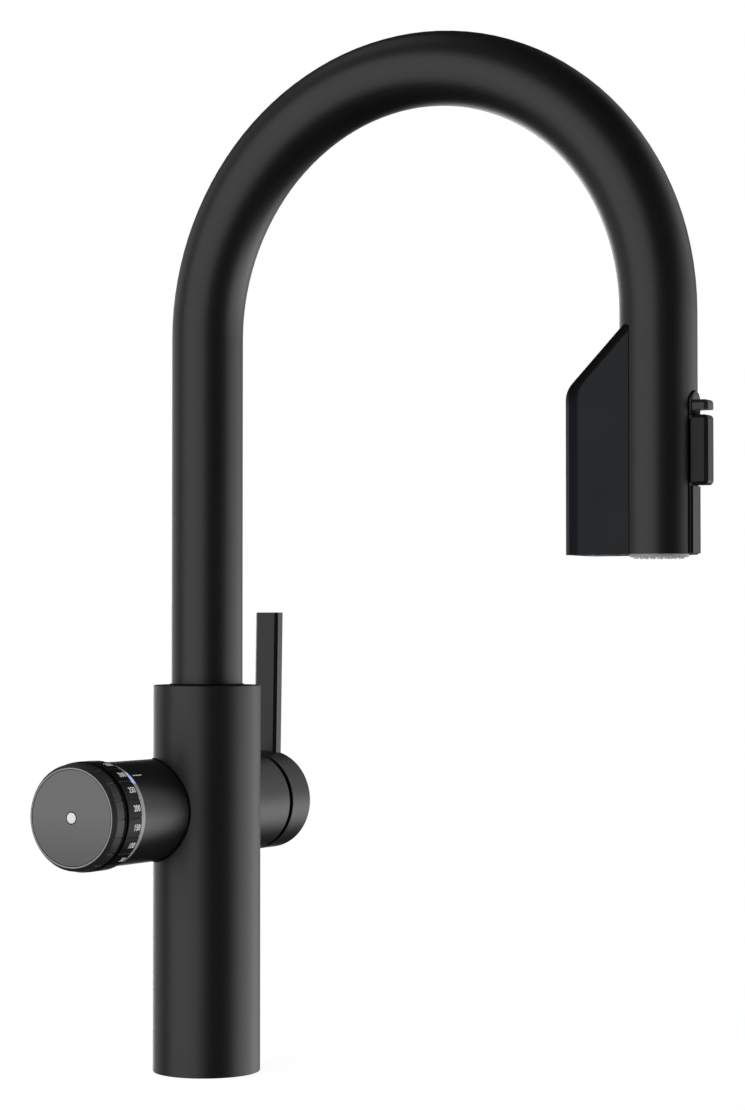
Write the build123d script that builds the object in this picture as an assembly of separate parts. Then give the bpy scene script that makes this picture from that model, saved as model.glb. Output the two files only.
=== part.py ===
from build123d import *
import math
import os

# Kitchen mixer tap, millimetres. The origin is the centre of the body's foot on the worktop.
# +Z is up, the spout reaches toward -Y, the dial points to -X and the lever side to +X.

# General clearances
shaft_gap = 0.06          # radial gap of a turning or sliding fit
guide_gap = 0.3           # gap between a moving skin and its guide
seat_gap = 0.3            # gap under a piece that turns on a washer
piece_gap = 0.3           # gap between pieces that only meet
overshoot = 1.0           # how far a cutter runs past the face that it opens

# Body column
body_r = 25.0
body_height = 179.2
body_wall = 3.0
body_edge = 0.4
top_lip_height = 3.2
riser_reveal = 0.5        # dark ring between the riser and the body's top lip

# Side axis shared by the dial and the lever cartridge
axis_drop = 57.8          # below the body's top
axis_setback = 16.9       # behind the column's axis, toward +Y
neck_r = 23.6
neck_wall = 2.6
dial_neck_end = 59.5      # distance from the column's axis, toward -X
lever_neck_end = 62.6     # distance from the column's axis, toward +X
neck_web = 2.0            # casting between the column's bore and each neck's bore

# Foot: deck insert, gasket and ports
gasket_height = 1.2
gasket_width = 4.0
insert_height = 12.0
hose_passage_r = 6.5
port_circle_r = 12.2
port_r = 4.5
stud_hole_r = 3.4
supply_tube_r = 5.0
supply_tube_wall = 1.2

# Mixer core
core_drop = 31.4          # core's underside below the side axis
core_port_depth = 16.0

# Spout
sleeve_wall = 5.4         # plastic bearing between the body's bore and the riser
tube_wall = 1.5
reach = 230.6
arch_z = 341.1
outlet_z = 237.0
sleeve_height = 24.0
flange_gap = 2.5          # between the spout foot's flange and the body's bore
flange_height = 4.5
foot_spigot_height = 14.0
foot_wall = 2.6
washer_height = 1.8
washer_width = 2.4
stop_pin_r = 1.5
stop_pin_inset = 2.3      # pin's axis inside the flange's rim
stop_pin_depth = 4.0
swivel_limit = 70.0       # degrees to each side
stop_margin = 1.0         # degrees left at each end of the notch

# Hose and its guide inside the spout
hose_r = 4.5
hose_guide_height = 10.0
hose_guide_drop = 5.0     # guide's top below the start of the arch
guide_mouth_flare = 3.0

# Fin housing behind the outlet leg
fin_side_step = 1.6       # fin's sides inside the tube's sides
fin_depth = 38.4          # from the outlet's axis to the fin's inner plane
fin_corner_rise = 70.6    # fin's upper corner above the outlet
fin_corner_r = 11.0
fin_edge_r = 4.5
fin_wall = 2.2
fin_plate_height = 3.0
filter_r = 6.0
filter_flange = 1.2
filter_bore_r = 3.4
filter_height = 15.0

# Slot and docked spray head, heights above the outlet
slot_width = 10.0
slot_length = 69.2
strip_width = 8.4
strip_proud = 0.8
strip_chamfer = 0.6
head_wall = 2.2
head_length = 59.0
head_neck_r = 7.5
head_neck_height = 7.0
head_passage_r = 4.0
jet_chamber_height = 9.4
seal_height = 1.2
nut_across_flats = 17.0
nut_height = 10.0
connector_bore_r = 3.0
ferrule_r = 6.0
ferrule_height = 8.0

# Nozzle
plate_height = 2.6
plate_drop = 1.0          # plate's face below the tube's end
nub_drop = 0.7            # nubs below the plate's face
mat_height = 1.6
inner_ring_nubs = 14
outer_ring_inset = 2.4    # outer ring of nubs inside the chamber's wall
outer_ring_nubs = 20
nub_r = 0.85
nub_tip_r = 0.6
nub_fit = 0.02            # nub's root inside its hole
aerator_r = 4.4
aerator_recess = 0.3
aerator_hole_r = 1.0
aerator_cells = 12
cell_inner_r = 1.7
cell_rim = 0.7
cell_width = 0.9
cell_depth = 3.0

# Spray button and pull tab
button_rise = 29.1
button_length = 29.7
button_proud = 7.4        # front face ahead of the tube
button_chamfer = 1.4
button_corner = 2.0
button_travel = 1.5
button_shank_inset = 1.9
button_shank_depth = 3.2
tab_spacing = 2.2         # between the button's top and the tab
tab_height = 4.2
tab_corner = 1.8
tab_root = 0.4            # tab's end inside the tongue

# Dial rings, lengths run from the neck's end toward -X
light_ring_length = 3.9
light_ring_bore_r = 16.0
ring_gap = 0.4
scale_ring_length = 9.8
scale_ring_r = 24.75
scale_ring_wall = 4.3
groove_width = 1.75
groove_depth = 1.8
grip_length = 5.85
grip_step = 0.2           # grip's rear radius inside the scale ring's
grip_taper = 0.7
grip_seat_step = 1.0
bevel_length = 1.95
bevel_depth = 1.35
rim_width = 0.8
dial_divisions = 18
division_cut = 0.6        # side of the square cutter that makes each division line
disc_gap = 0.3
disc_height = 1.7
disc_recess = 0.1
disc_stem_r = 5.0
dial_press_travel = 1.5
lens_r = 2.45
lens_depth = 0.9
dial_shaft_r = 9.0
dial_web = 4.0
drum_wall = 3.9
drum_recess = 1.5         # drum's front end behind the grip ring's ledge
carrier_length = 15.0
shaft_end_gap = 1.0       # shaft's end in front of the encoder
encoder_r = 17.0
encoder_length = 14.0
board_height = 1.6
cable_hole_r = 3.0        # from the board's pocket to the column's bore

# Lever cartridge
cartridge_r = 17.45
cartridge_port_r = 3.0
cartridge_port_circle_r = 10.5
cartridge_port_turn = 65.0 # degrees between neighbouring ports
cartridge_port_start = 12.0 # blind ends of the ports, from the upright axis
nut_recess = 0.6          # ring nut's face inside the neck's end
nut_length = 9.6
nut_lip_length = 2.6
nut_lip_r = 14.2
nut_notches = 6
nut_notch_width = 3.0
nut_notch_depth = 1.6
nut_notch_height = 2.0
driver_r = 11.0
driver_proud = 1.0        # driver's face ahead of its housing
driver_tail = 6.4         # driver's rear behind the pivot
driver_slot_up = 6.4
driver_slot_down = 8.6
pivot_depth = 9.8         # tilt axis inside the neck's end
pivot_pin_r = 1.5
pivot_pin_inset = 1.6     # pin's ends inside the driver
spindle_width = 8.0
spindle_height = 7.0
spindle_tail = 4.8        # spindle's rear end behind the pivot
slot_side_gap = 0.15

# Handle cap and lever bar
cap_gap = 2.55
cap_length = 16.2
cap_r = 23.8
cap_rim_wall = 0.85
cap_floor_wall = 4.4
cap_face_thickness = 10.3
cap_boss_r = 8.0
cap_boss_height = 3.0
spindle_grip = 7.5
lever_width = 12.8
lever_thickness = 6.9
lever_chamfer = 1.35
lever_rise = 92.1         # lever's top above the side axis
lever_socket_rise = 14.9
lever_lean = 1.4          # degrees outward
lever_face_proud = 1.7    # lever's outer face beyond the cap's end face, at the cap's top
lever_trim = 2.0          # extra length that the level cut at the top takes off

# Values that follow from the sizes above
bore_r = body_r - body_wall
neck_bore_r = neck_r - neck_wall
axis_y = axis_setback
axis_z = body_height - axis_drop
pocket_start = bore_r + neck_web
insert_top = gasket_height + insert_height
core_bottom = axis_z - core_drop
tube_r = bore_r - sleeve_wall
tube_bore_r = tube_r - tube_wall
lip_bottom = body_height - top_lip_height
sleeve_bottom = lip_bottom - sleeve_height
foot_top = sleeve_bottom - 0.5 * seat_gap
flange_bottom = foot_top - flange_height
flange_r = bore_r - flange_gap
foot_bore_r = tube_bore_r - foot_wall
stop_pin_circle_r = flange_r - stop_pin_inset
washer_top = flange_bottom - 0.5 * seat_gap
core_top = washer_top - washer_height
leg_y = -reach
fin_half_width = tube_r - fin_side_step
fin_inner_y = leg_y + fin_depth
fin_corner_z = outlet_z + fin_corner_rise
slot_top = outlet_z + slot_length
head_r = tube_bore_r - guide_gap
head_bottom = outlet_z + piece_gap
head_top = outlet_z + head_length
plate_bottom = outlet_z - plate_drop
chamber_r = head_r - head_wall
chamber_top = outlet_z + jet_chamber_height
outer_ring_r = chamber_r - outer_ring_inset
inner_ring_r = (aerator_r + outer_ring_r - nub_r) / 2
neck_top = head_top + head_neck_height
nut_bottom = neck_top + seal_height
hose_end_z = nut_bottom + nut_height + ferrule_height
guide_top = arch_z - hose_guide_drop
button_bottom = outlet_z + button_rise
button_top = button_bottom + button_length
tab_bottom = button_top + tab_spacing
tab_top = tab_bottom + tab_height
strip_front_y = leg_y - tube_r - strip_proud
button_front_y = leg_y - tube_r - button_proud
button_back_y = leg_y - head_r - button_travel - piece_gap
light_ring_end = dial_neck_end + light_ring_length
scale_ring_start = light_ring_end + ring_gap
scale_ring_end = scale_ring_start + scale_ring_length
drum_r = scale_ring_r - scale_ring_wall
groove_floor_r = scale_ring_r - groove_depth
grip_seat_r = drum_r - grip_seat_step
grip_rear = scale_ring_end + groove_width
grip_rear_r = scale_ring_r - grip_step
grip_front = grip_rear + grip_length
grip_front_r = grip_rear_r - grip_taper
rim_end = grip_front + bevel_length
rim_r = grip_front_r - bevel_depth
disc_r = rim_r - rim_width - disc_gap
disc_front = rim_end - disc_recess
disc_back = disc_front - disc_height
ledge = disc_back - dial_press_travel - piece_gap
carrier_inner = dial_neck_end - carrier_length
nut_front = lever_neck_end - nut_recess
nut_rear = nut_front - nut_length
cartridge_front = nut_front - nut_lip_length
pivot_x = lever_neck_end - pivot_depth
driver_rear = pivot_x - driver_tail
driver_front = cartridge_front + driver_proud
spindle_rear = pivot_x - spindle_tail
cap_start = lever_neck_end + cap_gap
cap_end = cap_start + cap_length
cap_rim_r = cap_r - cap_rim_wall
cap_floor = cap_end - cap_face_thickness
cap_floor_r = cap_r - cap_floor_wall
lever_top = axis_z + lever_rise
lever_socket_z = axis_z + lever_socket_rise
side_axis = Axis((0, axis_y, axis_z), (1, 0, 0))


def disc(radius, bottom, top, x=0.0, y=0.0):
    """Upright cylinder between two heights."""
    low = (Align.CENTER, Align.CENTER, Align.MIN)
    return Pos(x, y, bottom) * Cylinder(radius, top - bottom, align=low)


def rod(radius, start, end):
    """Cylinder on the side axis between two X stations."""
    low = (Align.CENTER, Align.CENTER, Align.MIN)
    return Pos(start, axis_y, axis_z) * Rot(0, 90, 0) * Cylinder(radius, end - start, align=low)


def block(x0, x1, y0, y1, z0, z1):
    """Box between two corners."""
    centre = Pos((x0 + x1) / 2, (y0 + y1) / 2, (z0 + z1) / 2)
    return centre * Box(x1 - x0, y1 - y0, z1 - z0)


def turned_side(*points):
    """Solid turned about the side axis from (X, radius) points."""
    outline = Polyline(*[(x, radius) for x, radius in points], close=True)
    return Pos(0, axis_y, axis_z) * revolve(Plane.XZ * make_face(outline), Axis.X)


def turned_up(*points, y=0.0):
    """Solid turned about an upright axis from (radius, Z) points."""
    outline = Polyline(*points, close=True)
    return Pos(0, y, 0) * revolve(Plane.XZ * make_face(outline), Axis.Z)


def port_places():
    """Centres of the left, right and front ports of the foot."""
    return ((-port_circle_r, 0), (port_circle_r, 0), (0, -port_circle_r))


def division_cutter(x_rear, r_rear, x_front, r_front):
    """Narrow square bar that runs along a ring's surface, edge inward."""
    length = math.hypot(x_front - x_rear, r_front - r_rear)
    slope = math.degrees(math.atan2(r_front - r_rear, x_rear - x_front))
    middle = Pos((x_rear + x_front) / 2, axis_y, axis_z + (r_rear + r_front) / 2)
    return middle * Rot(0, slope, 0) * Rot(45, 0, 0) * Box(2 * length, division_cut, division_cut)


def around_side_axis(solid, count):
    """Copies of a solid spaced evenly about the side axis."""
    turn = 360 / count
    return [solid.rotate(side_axis, index * turn) for index in range(count)]


def cartridge_ports():
    """Short bores that join the mixer core to the cartridge's rear face."""
    port = rod(cartridge_port_r, cartridge_port_start, pocket_start + overshoot)
    port = Pos(0, -cartridge_port_circle_r, 0) * port
    return [port.rotate(side_axis, turn) for turn in (-cartridge_port_turn, 0, cartridge_port_turn)]


def make_body_column():
    """Column with the two side necks, each bored up to the column's own wall."""
    column = disc(body_r, 0, body_height)
    column = fillet(column.edges().filter_by(GeomType.CIRCLE), body_edge)
    necks = rod(neck_r, -dial_neck_end, lever_neck_end)
    shell = column + necks
    shell -= disc(bore_r, -overshoot, lip_bottom)
    shell -= disc(tube_r + riser_reveal, lip_bottom - overshoot, body_height + overshoot)
    shell -= rod(neck_bore_r, -dial_neck_end - overshoot, -pocket_start)
    shell -= rod(cable_hole_r, -dial_neck_end, 0)
    shell -= rod(neck_bore_r, nut_rear, lever_neck_end + overshoot)
    shell -= rod(cartridge_r, pocket_start, lever_neck_end)
    return shell - cartridge_ports()


def make_base_gasket():
    """Flat ring pressed between the deck insert and the worktop."""
    gasket = disc(bore_r, 0, gasket_height)
    return gasket - disc(bore_r - gasket_width, -overshoot, gasket_height + overshoot)


def make_deck_insert():
    """Brass foot with the stud's thread, three ports and the hose passage."""
    foot = disc(bore_r, gasket_height, insert_top)
    above = insert_top + overshoot
    foot -= disc(hose_passage_r, 0, above)
    foot -= disc(stud_hole_r, 0, above, y=port_circle_r)
    for x, y in port_places():
        foot -= disc(port_r, 0, above, x, y)
    return foot


def make_supply_tube(x, y):
    """Copper tube from a port of the foot to the mixer core."""
    tube = disc(supply_tube_r, insert_top, core_bottom, x, y)
    bore = disc(supply_tube_r - supply_tube_wall, insert_top - overshoot, core_bottom + overshoot, x, y)
    return tube - bore


def make_mixer_core():
    """Brass core with the channels that lead to the cartridge."""
    core = disc(bore_r, core_bottom, core_top)
    core -= disc(hose_passage_r, core_bottom - overshoot, core_top + overshoot)
    core -= cartridge_ports()
    cable_x = -math.sqrt(bore_r ** 2 - axis_y ** 2)
    core -= disc(cable_hole_r, core_bottom - overshoot, axis_z + cable_hole_r, cable_x, axis_y)
    port_bore_r = supply_tube_r - supply_tube_wall
    for x, y in port_places():
        core -= disc(port_bore_r, core_bottom - overshoot, core_bottom + core_port_depth, x, y)
    return core - disc(stop_pin_r, core_top - stop_pin_depth, core_top + overshoot, y=stop_pin_circle_r)


def make_stop_pin():
    """Pin that limits the spout's swivel."""
    return disc(stop_pin_r, core_top - stop_pin_depth, foot_top - seat_gap, y=stop_pin_circle_r)


def make_thrust_washer():
    """Washer that carries the spout's weight."""
    washer = disc(foot_bore_r + washer_width, core_top, washer_top)
    return washer - disc(foot_bore_r, core_top - overshoot, foot_top)


def make_swivel_sleeve():
    """Plastic bearing that the riser turns in."""
    sleeve = disc(bore_r, sleeve_bottom, lip_bottom)
    return sleeve - disc(tube_r + shaft_gap, sleeve_bottom - overshoot, lip_bottom + overshoot)


def make_cartridge_housing():
    """Cartridge shell with the open seat of its turning driver."""
    housing = rod(cartridge_r, pocket_start, cartridge_front)
    return housing - rod(driver_r + shaft_gap, driver_rear, cartridge_front + overshoot)


def make_cartridge_nut():
    """Notched ring nut that clamps the cartridge."""
    nut = turned_side(
        (nut_rear, cartridge_r), (cartridge_front, cartridge_r), (cartridge_front, nut_lip_r),
        (nut_front, nut_lip_r), (nut_front, neck_bore_r), (nut_rear, neck_bore_r))
    notch_z = axis_z + nut_lip_r
    half = nut_notch_width / 2
    notch = block(nut_front - nut_notch_depth, nut_front + overshoot, axis_y - half, axis_y + half,
                  notch_z - overshoot, notch_z + nut_notch_height)
    return nut - around_side_axis(notch, nut_notches)


def make_dial_carrier():
    """Plastic plug in the neck's end that the dial's shaft turns in."""
    plug = rod(neck_bore_r, -dial_neck_end, -carrier_inner)
    return plug - rod(dial_shaft_r + shaft_gap, -dial_neck_end - overshoot, -carrier_inner + overshoot)


def make_light_ring():
    """Translucent ring between the neck and the scale ring."""
    ring = rod(neck_r, -light_ring_end, -dial_neck_end)
    return ring - rod(light_ring_bore_r, -light_ring_end - overshoot, -dial_neck_end + overshoot)


def make_encoder():
    """Sealed encoder behind the dial's carrier."""
    return rod(encoder_r, -carrier_inner, -carrier_inner + encoder_length)


def make_encoder_board():
    """Round circuit board on the encoder."""
    start = -carrier_inner + encoder_length
    return rod(neck_bore_r - seat_gap, start, start + board_height)


def make_dial_hub():
    """Shaft, web and drum that carry the dial's two rings."""
    shaft_end = carrier_inner + shaft_end_gap
    web_end = scale_ring_start + dial_web
    drum_front = ledge - drum_recess
    return turned_side(
        (-shaft_end, disc_stem_r + shaft_gap), (-shaft_end, dial_shaft_r),
        (-scale_ring_start, dial_shaft_r), (-scale_ring_start, drum_r),
        (-scale_ring_end, drum_r), (-scale_ring_end, groove_floor_r),
        (-grip_rear, groove_floor_r), (-grip_rear, grip_seat_r), (-drum_front, grip_seat_r),
        (-drum_front, drum_r - drum_wall), (-web_end, drum_r - drum_wall),
        (-web_end, disc_stem_r + shaft_gap))


def make_scale_ring():
    """Ring that carries the numbers, with a line at each division."""
    ring = rod(scale_ring_r, -scale_ring_end, -scale_ring_start)
    ring -= rod(drum_r, -scale_ring_end - overshoot, -scale_ring_start + overshoot)
    cutter = division_cutter(-scale_ring_start, scale_ring_r, -scale_ring_end, scale_ring_r)
    first = cutter.rotate(side_axis, 90)
    return ring - around_side_axis(first, dial_divisions)


def make_grip_ring():
    """Tapered grip with a bevelled rim and a line at each division."""
    ring = turned_side(
        (-grip_rear, grip_seat_r), (-grip_rear, grip_rear_r), (-grip_front, grip_front_r),
        (-rim_end, rim_r), (-rim_end, rim_r - rim_width), (-ledge, rim_r - rim_width),
        (-ledge, grip_seat_r))
    cutter = division_cutter(-grip_rear, grip_rear_r, -grip_front, grip_front_r)
    first = cutter.rotate(side_axis, 90)
    return ring - around_side_axis(first, dial_divisions)


def make_dial_button():
    """Round front disc with its stem and the recess of its lens."""
    button = rod(disc_r, -disc_front, -disc_back)
    button += rod(disc_stem_r, -disc_back, -light_ring_end)
    return button - rod(lens_r + piece_gap, -disc_front - overshoot, -disc_front + lens_depth)


def make_dial_lens():
    """White lens in the middle of the front disc."""
    return rod(lens_r, -disc_front, -disc_front + lens_depth)


def make_cartridge_driver():
    """Turning driver with the slot that lets the spindle tilt."""
    driver = rod(driver_r, driver_rear + piece_gap, driver_front)
    half = spindle_width / 2 + slot_side_gap
    driver -= block(driver_rear - overshoot, driver_front + overshoot, axis_y - half, axis_y + half,
                    axis_z - driver_slot_down, axis_z + driver_slot_up)
    return driver - make_driver_pin()


def make_driver_pin():
    """Cross pin that the spindle tilts on."""
    pin = Cylinder(pivot_pin_r, 2 * (driver_r - pivot_pin_inset))
    return Pos(pivot_x, axis_y, axis_z) * Rot(90, 0, 0) * pin


def make_spindle():
    """Square spindle from the driver into the handle cap."""
    half_width = spindle_width / 2
    half_height = spindle_height / 2
    spindle = block(spindle_rear, cap_floor - cap_boss_height + spindle_grip,
                    axis_y - half_width, axis_y + half_width, axis_z - half_height, axis_z + half_height)
    hole = Cylinder(pivot_pin_r + shaft_gap, 2 * spindle_width)
    return spindle - Pos(pivot_x, axis_y, axis_z) * Rot(90, 0, 0) * hole


def lever_outline(length):
    """Chamfered flat bar, standing at the origin with its outer face on X = 0."""
    section = Pos(-lever_thickness / 2, 0) * Rectangle(lever_thickness, lever_width)
    section = chamfer(section.vertices(), lever_chamfer)
    return extrude(section, length)


def make_lever_bar():
    """Flat lever that leans slightly outward from its socket in the cap."""
    lean = math.radians(lever_lean)
    foot_x = cap_end + lever_face_proud - (axis_z + cap_r - lever_socket_z) * math.tan(lean)
    length = (lever_top - lever_socket_z) / math.cos(lean)
    bar = Pos(foot_x, axis_y, lever_socket_z) * Rot(0, lever_lean, 0) * lever_outline(length + lever_trim)
    return bar - block(0, 2 * cap_end, axis_y - lever_width, axis_y + lever_width,
                       lever_top, lever_top + 2 * lever_trim)


def make_handle_cap():
    """Round cap, hollowed so that it clears the neck when it tilts."""
    cap = rod(cap_r, cap_start, cap_end)
    cap = fillet(cap.edges().filter_by(GeomType.CIRCLE), body_edge)
    mouth = cap_start - overshoot
    cap -= turned_side((mouth, 0), (mouth, cap_rim_r), (cap_start, cap_rim_r),
                       (cap_floor, cap_floor_r), (cap_floor, 0))
    cap += rod(cap_boss_r, cap_floor - cap_boss_height, cap_floor)
    return cap - make_spindle() - make_lever_bar()


def spout_path(start_z, end_z):
    """Centre line up the riser, over the arch and down the outlet leg."""
    riser = Line((0, 0, start_z), (0, 0, arch_z))
    arch = ThreePointArc((0, 0, arch_z), (0, leg_y / 2, arch_z + reach / 2), (0, leg_y, arch_z))
    leg = Line((0, leg_y, arch_z), (0, leg_y, end_z))
    return riser + arch + leg


def swept_tube(section, start_z, end_z):
    """Section carried along the spout's centre line."""
    return sweep(Pos(0, 0, start_z) * section, path=spout_path(start_z, end_z))


def make_spout_tube():
    """Bent tube with the open slot that the spray head's controls slide in."""
    tube = swept_tube(Circle(tube_r) - Circle(tube_bore_r), foot_top, outlet_z)
    half = slot_width / 2
    slot = block(-half, half, leg_y - 2 * tube_r, leg_y, outlet_z - overshoot, slot_top - half)
    slot_end = Cylinder(half, 2 * tube_r, align=(Align.CENTER, Align.CENTER, Align.MIN))
    slot += Pos(0, leg_y, slot_top - half) * Rot(90, 0, 0) * slot_end
    return tube - slot


def make_spout_foot():
    """Brass bush in the riser with the flange whose notch meets the stop pin."""
    foot = disc(tube_bore_r, foot_top, foot_top + foot_spigot_height)
    foot += disc(flange_r, flange_bottom, foot_top)
    foot -= disc(foot_bore_r, flange_bottom - overshoot, foot_top + foot_spigot_height + overshoot)
    pin_angle = math.degrees(math.asin(stop_pin_r / stop_pin_circle_r))
    half_angle = swivel_limit + pin_angle + stop_margin
    notch = Circle(flange_r + overshoot) - Circle(stop_pin_circle_r - stop_pin_r - piece_gap)
    far = 3 * flange_r
    edge_x = far * math.sin(math.radians(half_angle))
    edge_y = far * math.cos(math.radians(half_angle))
    wedge = make_face(Polyline((0, 0), (edge_x, edge_y), (0, far), (-edge_x, edge_y), close=True))
    return foot - Pos(0, 0, flange_bottom - overshoot) * extrude(notch & wedge, flange_height + overshoot)


def make_hose_guide():
    """Guide bush for the hose at the top of the outlet leg."""
    bore = hose_r + guide_gap
    mouth = bore + guide_mouth_flare
    bottom = guide_top - hose_guide_height
    return turned_up((bore, guide_top - guide_mouth_flare), (mouth, guide_top), (tube_bore_r, guide_top),
                     (tube_bore_r, bottom), (mouth, bottom), (bore, bottom + guide_mouth_flare), y=leg_y)


def make_spray_hose():
    """Flexible spray hose from the docked head through the spout to the foot."""
    return swept_tube(Circle(hose_r), 0, hose_end_z)


def fin_block(inset):
    """Fin's outer form, or the same form drawn in by an inset."""
    inner_y = fin_inner_y - inset
    slope_sum = fin_corner_z + fin_inner_y - inset * math.sqrt(2)
    profile = Polyline((leg_y, outlet_z), (inner_y, outlet_z), (inner_y, slope_sum - inner_y),
                       (leg_y, slope_sum - leg_y), close=True)
    half = fin_half_width - inset
    fin = Pos(-half, 0, 0) * extrude(Plane.YZ * make_face(profile), 2 * half)
    corner = fin.edges().filter_by(Axis.X).group_by(Axis.Y)[-1].sort_by(Axis.Z)[-1]
    fin = fillet(corner, fin_corner_r - inset)
    rims = fin.edges().filter_by(lambda edge: abs(abs(edge.center().X) - half) < 0.01)
    rims = rims.filter_by(lambda edge: edge.center().Z > outlet_z + 1 and edge.center().Y > leg_y + 1)
    return fillet(rims, fin_edge_r - inset)


def fin_cavity():
    """Hollow of the fin, with a wall kept along the tube."""
    above = arch_z + tube_r
    return fin_block(fin_wall) - disc(tube_r + fin_wall, outlet_z - overshoot, above, y=leg_y)


def make_fin_housing():
    """Moulded shell behind the outlet leg, open at the bottom."""
    above = arch_z + tube_r
    fin = fin_block(0) - disc(tube_r, outlet_z - overshoot, above, y=leg_y)
    return fin - fin_cavity()


def filter_y():
    """Distance of the small outlet's axis along Y."""
    return (leg_y + tube_r + fin_inner_y) / 2


def make_fin_plate():
    """Bottom plate of the fin with the hole of the small outlet."""
    slab = block(-fin_half_width, fin_half_width, leg_y, fin_inner_y,
                 outlet_z, outlet_z + fin_plate_height)
    plate = fin_cavity() & slab
    above = outlet_z + fin_plate_height + overshoot
    return plate - disc(filter_r, outlet_z - overshoot, above, y=filter_y())


def make_filter_outlet():
    """Small round outlet that rests on the fin's bottom plate."""
    seat = outlet_z + fin_plate_height
    top = outlet_z + filter_height
    flange_top = seat + filter_flange
    return turned_up((filter_bore_r, outlet_z), (filter_r, outlet_z), (filter_r, seat),
                     (filter_r + filter_flange, seat), (filter_r + filter_flange, flange_top),
                     (filter_r, flange_top), (filter_r, top), (filter_bore_r, top), y=filter_y())


def make_spray_body():
    """Spray head's barrel with its jet chamber, neck and button pocket."""
    barrel = disc(head_r, head_bottom, head_top, y=leg_y)
    barrel += disc(head_neck_r, head_top, neck_top, y=leg_y)
    barrel -= disc(chamber_r, head_bottom - overshoot, chamber_top, y=leg_y)
    barrel -= disc(head_passage_r, chamber_top - overshoot, neck_top + overshoot, y=leg_y)
    half = strip_width / 2 - button_shank_inset + 2 * piece_gap
    pocket_back = button_back_y + button_shank_depth + button_travel + piece_gap
    pocket = block(-half, half, leg_y - 2 * head_r, pocket_back,
                   button_bottom + button_shank_inset - piece_gap,
                   button_top - button_shank_inset + piece_gap)
    return barrel - pocket


def strip_block(bottom, top):
    """Part of the control strip's bar that lies in the tube's slot."""
    half = strip_width / 2
    bar = block(-half, half, strip_front_y, leg_y, bottom, top)
    return bar - disc(head_r, bottom - overshoot, top + overshoot, y=leg_y)


def make_control_strip():
    """Strip that fills the slot below the button."""
    strip = strip_block(outlet_z + piece_gap, button_bottom - piece_gap)
    front = strip.faces().sort_by(Axis.Y)[0]
    return chamfer(front.edges().filter_by(Axis.Z), strip_chamfer)


def make_pull_tab():
    """Tongue in the slot's rounded end with the tab that the finger pulls."""
    half = strip_width / 2
    tongue = strip_block(button_top + piece_gap, slot_top - piece_gap)
    shape = block(-half, half, leg_y - 2 * tube_r, leg_y, 0, slot_top - piece_gap - half)
    round_end = Cylinder(half, 2 * tube_r, align=(Align.CENTER, Align.CENTER, Align.MIN))
    shape += Pos(0, leg_y, slot_top - piece_gap - half) * Rot(90, 0, 0) * round_end
    tongue = tongue & shape
    tab = block(-half, half, button_front_y, strip_front_y + tab_root, tab_bottom, tab_top)
    front = tab.faces().sort_by(Axis.Y)[0]
    tab = fillet(front.edges().sort_by(Axis.Z)[-1], tab_corner)
    front = tab.faces().sort_by(Axis.Y)[0]
    tab = chamfer(front.edges().filter_by(Axis.Z), button_chamfer)
    return tongue + tab


def make_spray_button():
    """Tall chamfered button with its shank."""
    half = strip_width / 2
    button = block(-half, half, button_front_y, button_back_y, button_bottom, button_top)
    front = button.faces().sort_by(Axis.Y)[0]
    ends = front.edges().filter_by(Axis.X)
    button = fillet(ends, button_corner)
    front = button.faces().sort_by(Axis.Y)[0]
    button = chamfer(front.edges().filter_by(Axis.Z), button_chamfer)
    shank_half = half - button_shank_inset
    return button + block(-shank_half, shank_half, button_back_y, button_back_y + button_shank_depth,
                          button_bottom + button_shank_inset, button_top - button_shank_inset)


def make_hose_connector():
    """Hex union nut with the crimped ferrule of the hose."""
    nut_top = nut_bottom + nut_height
    hexagon = RegularPolygon(nut_across_flats / 2, 6, major_radius=False)
    nut = Pos(0, leg_y, nut_bottom) * extrude(hexagon, nut_height)
    nut += disc(ferrule_r, nut_top, hose_end_z, y=leg_y)
    return nut - disc(connector_bore_r, nut_bottom - overshoot, hose_end_z + overshoot, y=leg_y)


def make_connector_seal():
    """Flat seal between the head's neck and the union nut."""
    seal = disc(head_neck_r, neck_top, nut_bottom, y=leg_y)
    return seal - disc(head_passage_r, neck_top - overshoot, nut_bottom + overshoot, y=leg_y)


def nub_places():
    """Centres of the spray nubs, ring by ring."""
    places = []
    for radius, count in ((inner_ring_r, inner_ring_nubs), (outer_ring_r, outer_ring_nubs)):
        for index in range(count):
            turn = 2 * math.pi * index / count
            places.append((radius * math.cos(turn), leg_y + radius * math.sin(turn)))
    return places


def make_nozzle_plate():
    """Perforated plate that closes the jet chamber."""
    below = plate_bottom - overshoot
    above = plate_bottom + plate_height + overshoot
    plate = disc(chamber_r, plate_bottom, plate_bottom + plate_height, y=leg_y)
    plate -= disc(aerator_r, below, above, y=leg_y)
    holes = [disc(nub_r, below, above, x, y) for x, y in nub_places()]
    return plate - holes


def make_nozzle_mat():
    """Silicone mat whose nubs stand through the plate."""
    seat = plate_bottom + plate_height
    mat = disc(chamber_r, seat, seat + mat_height, y=leg_y)
    mat -= disc(aerator_r, seat - overshoot, seat + mat_height + overshoot, y=leg_y)
    height = plate_height + nub_drop
    low = (Align.CENTER, Align.CENTER, Align.MIN)
    nub = Cone(nub_tip_r, nub_r - nub_fit, height, align=low)
    return mat + [Pos(x, y, plate_bottom - nub_drop) * nub for x, y in nub_places()]


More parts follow.
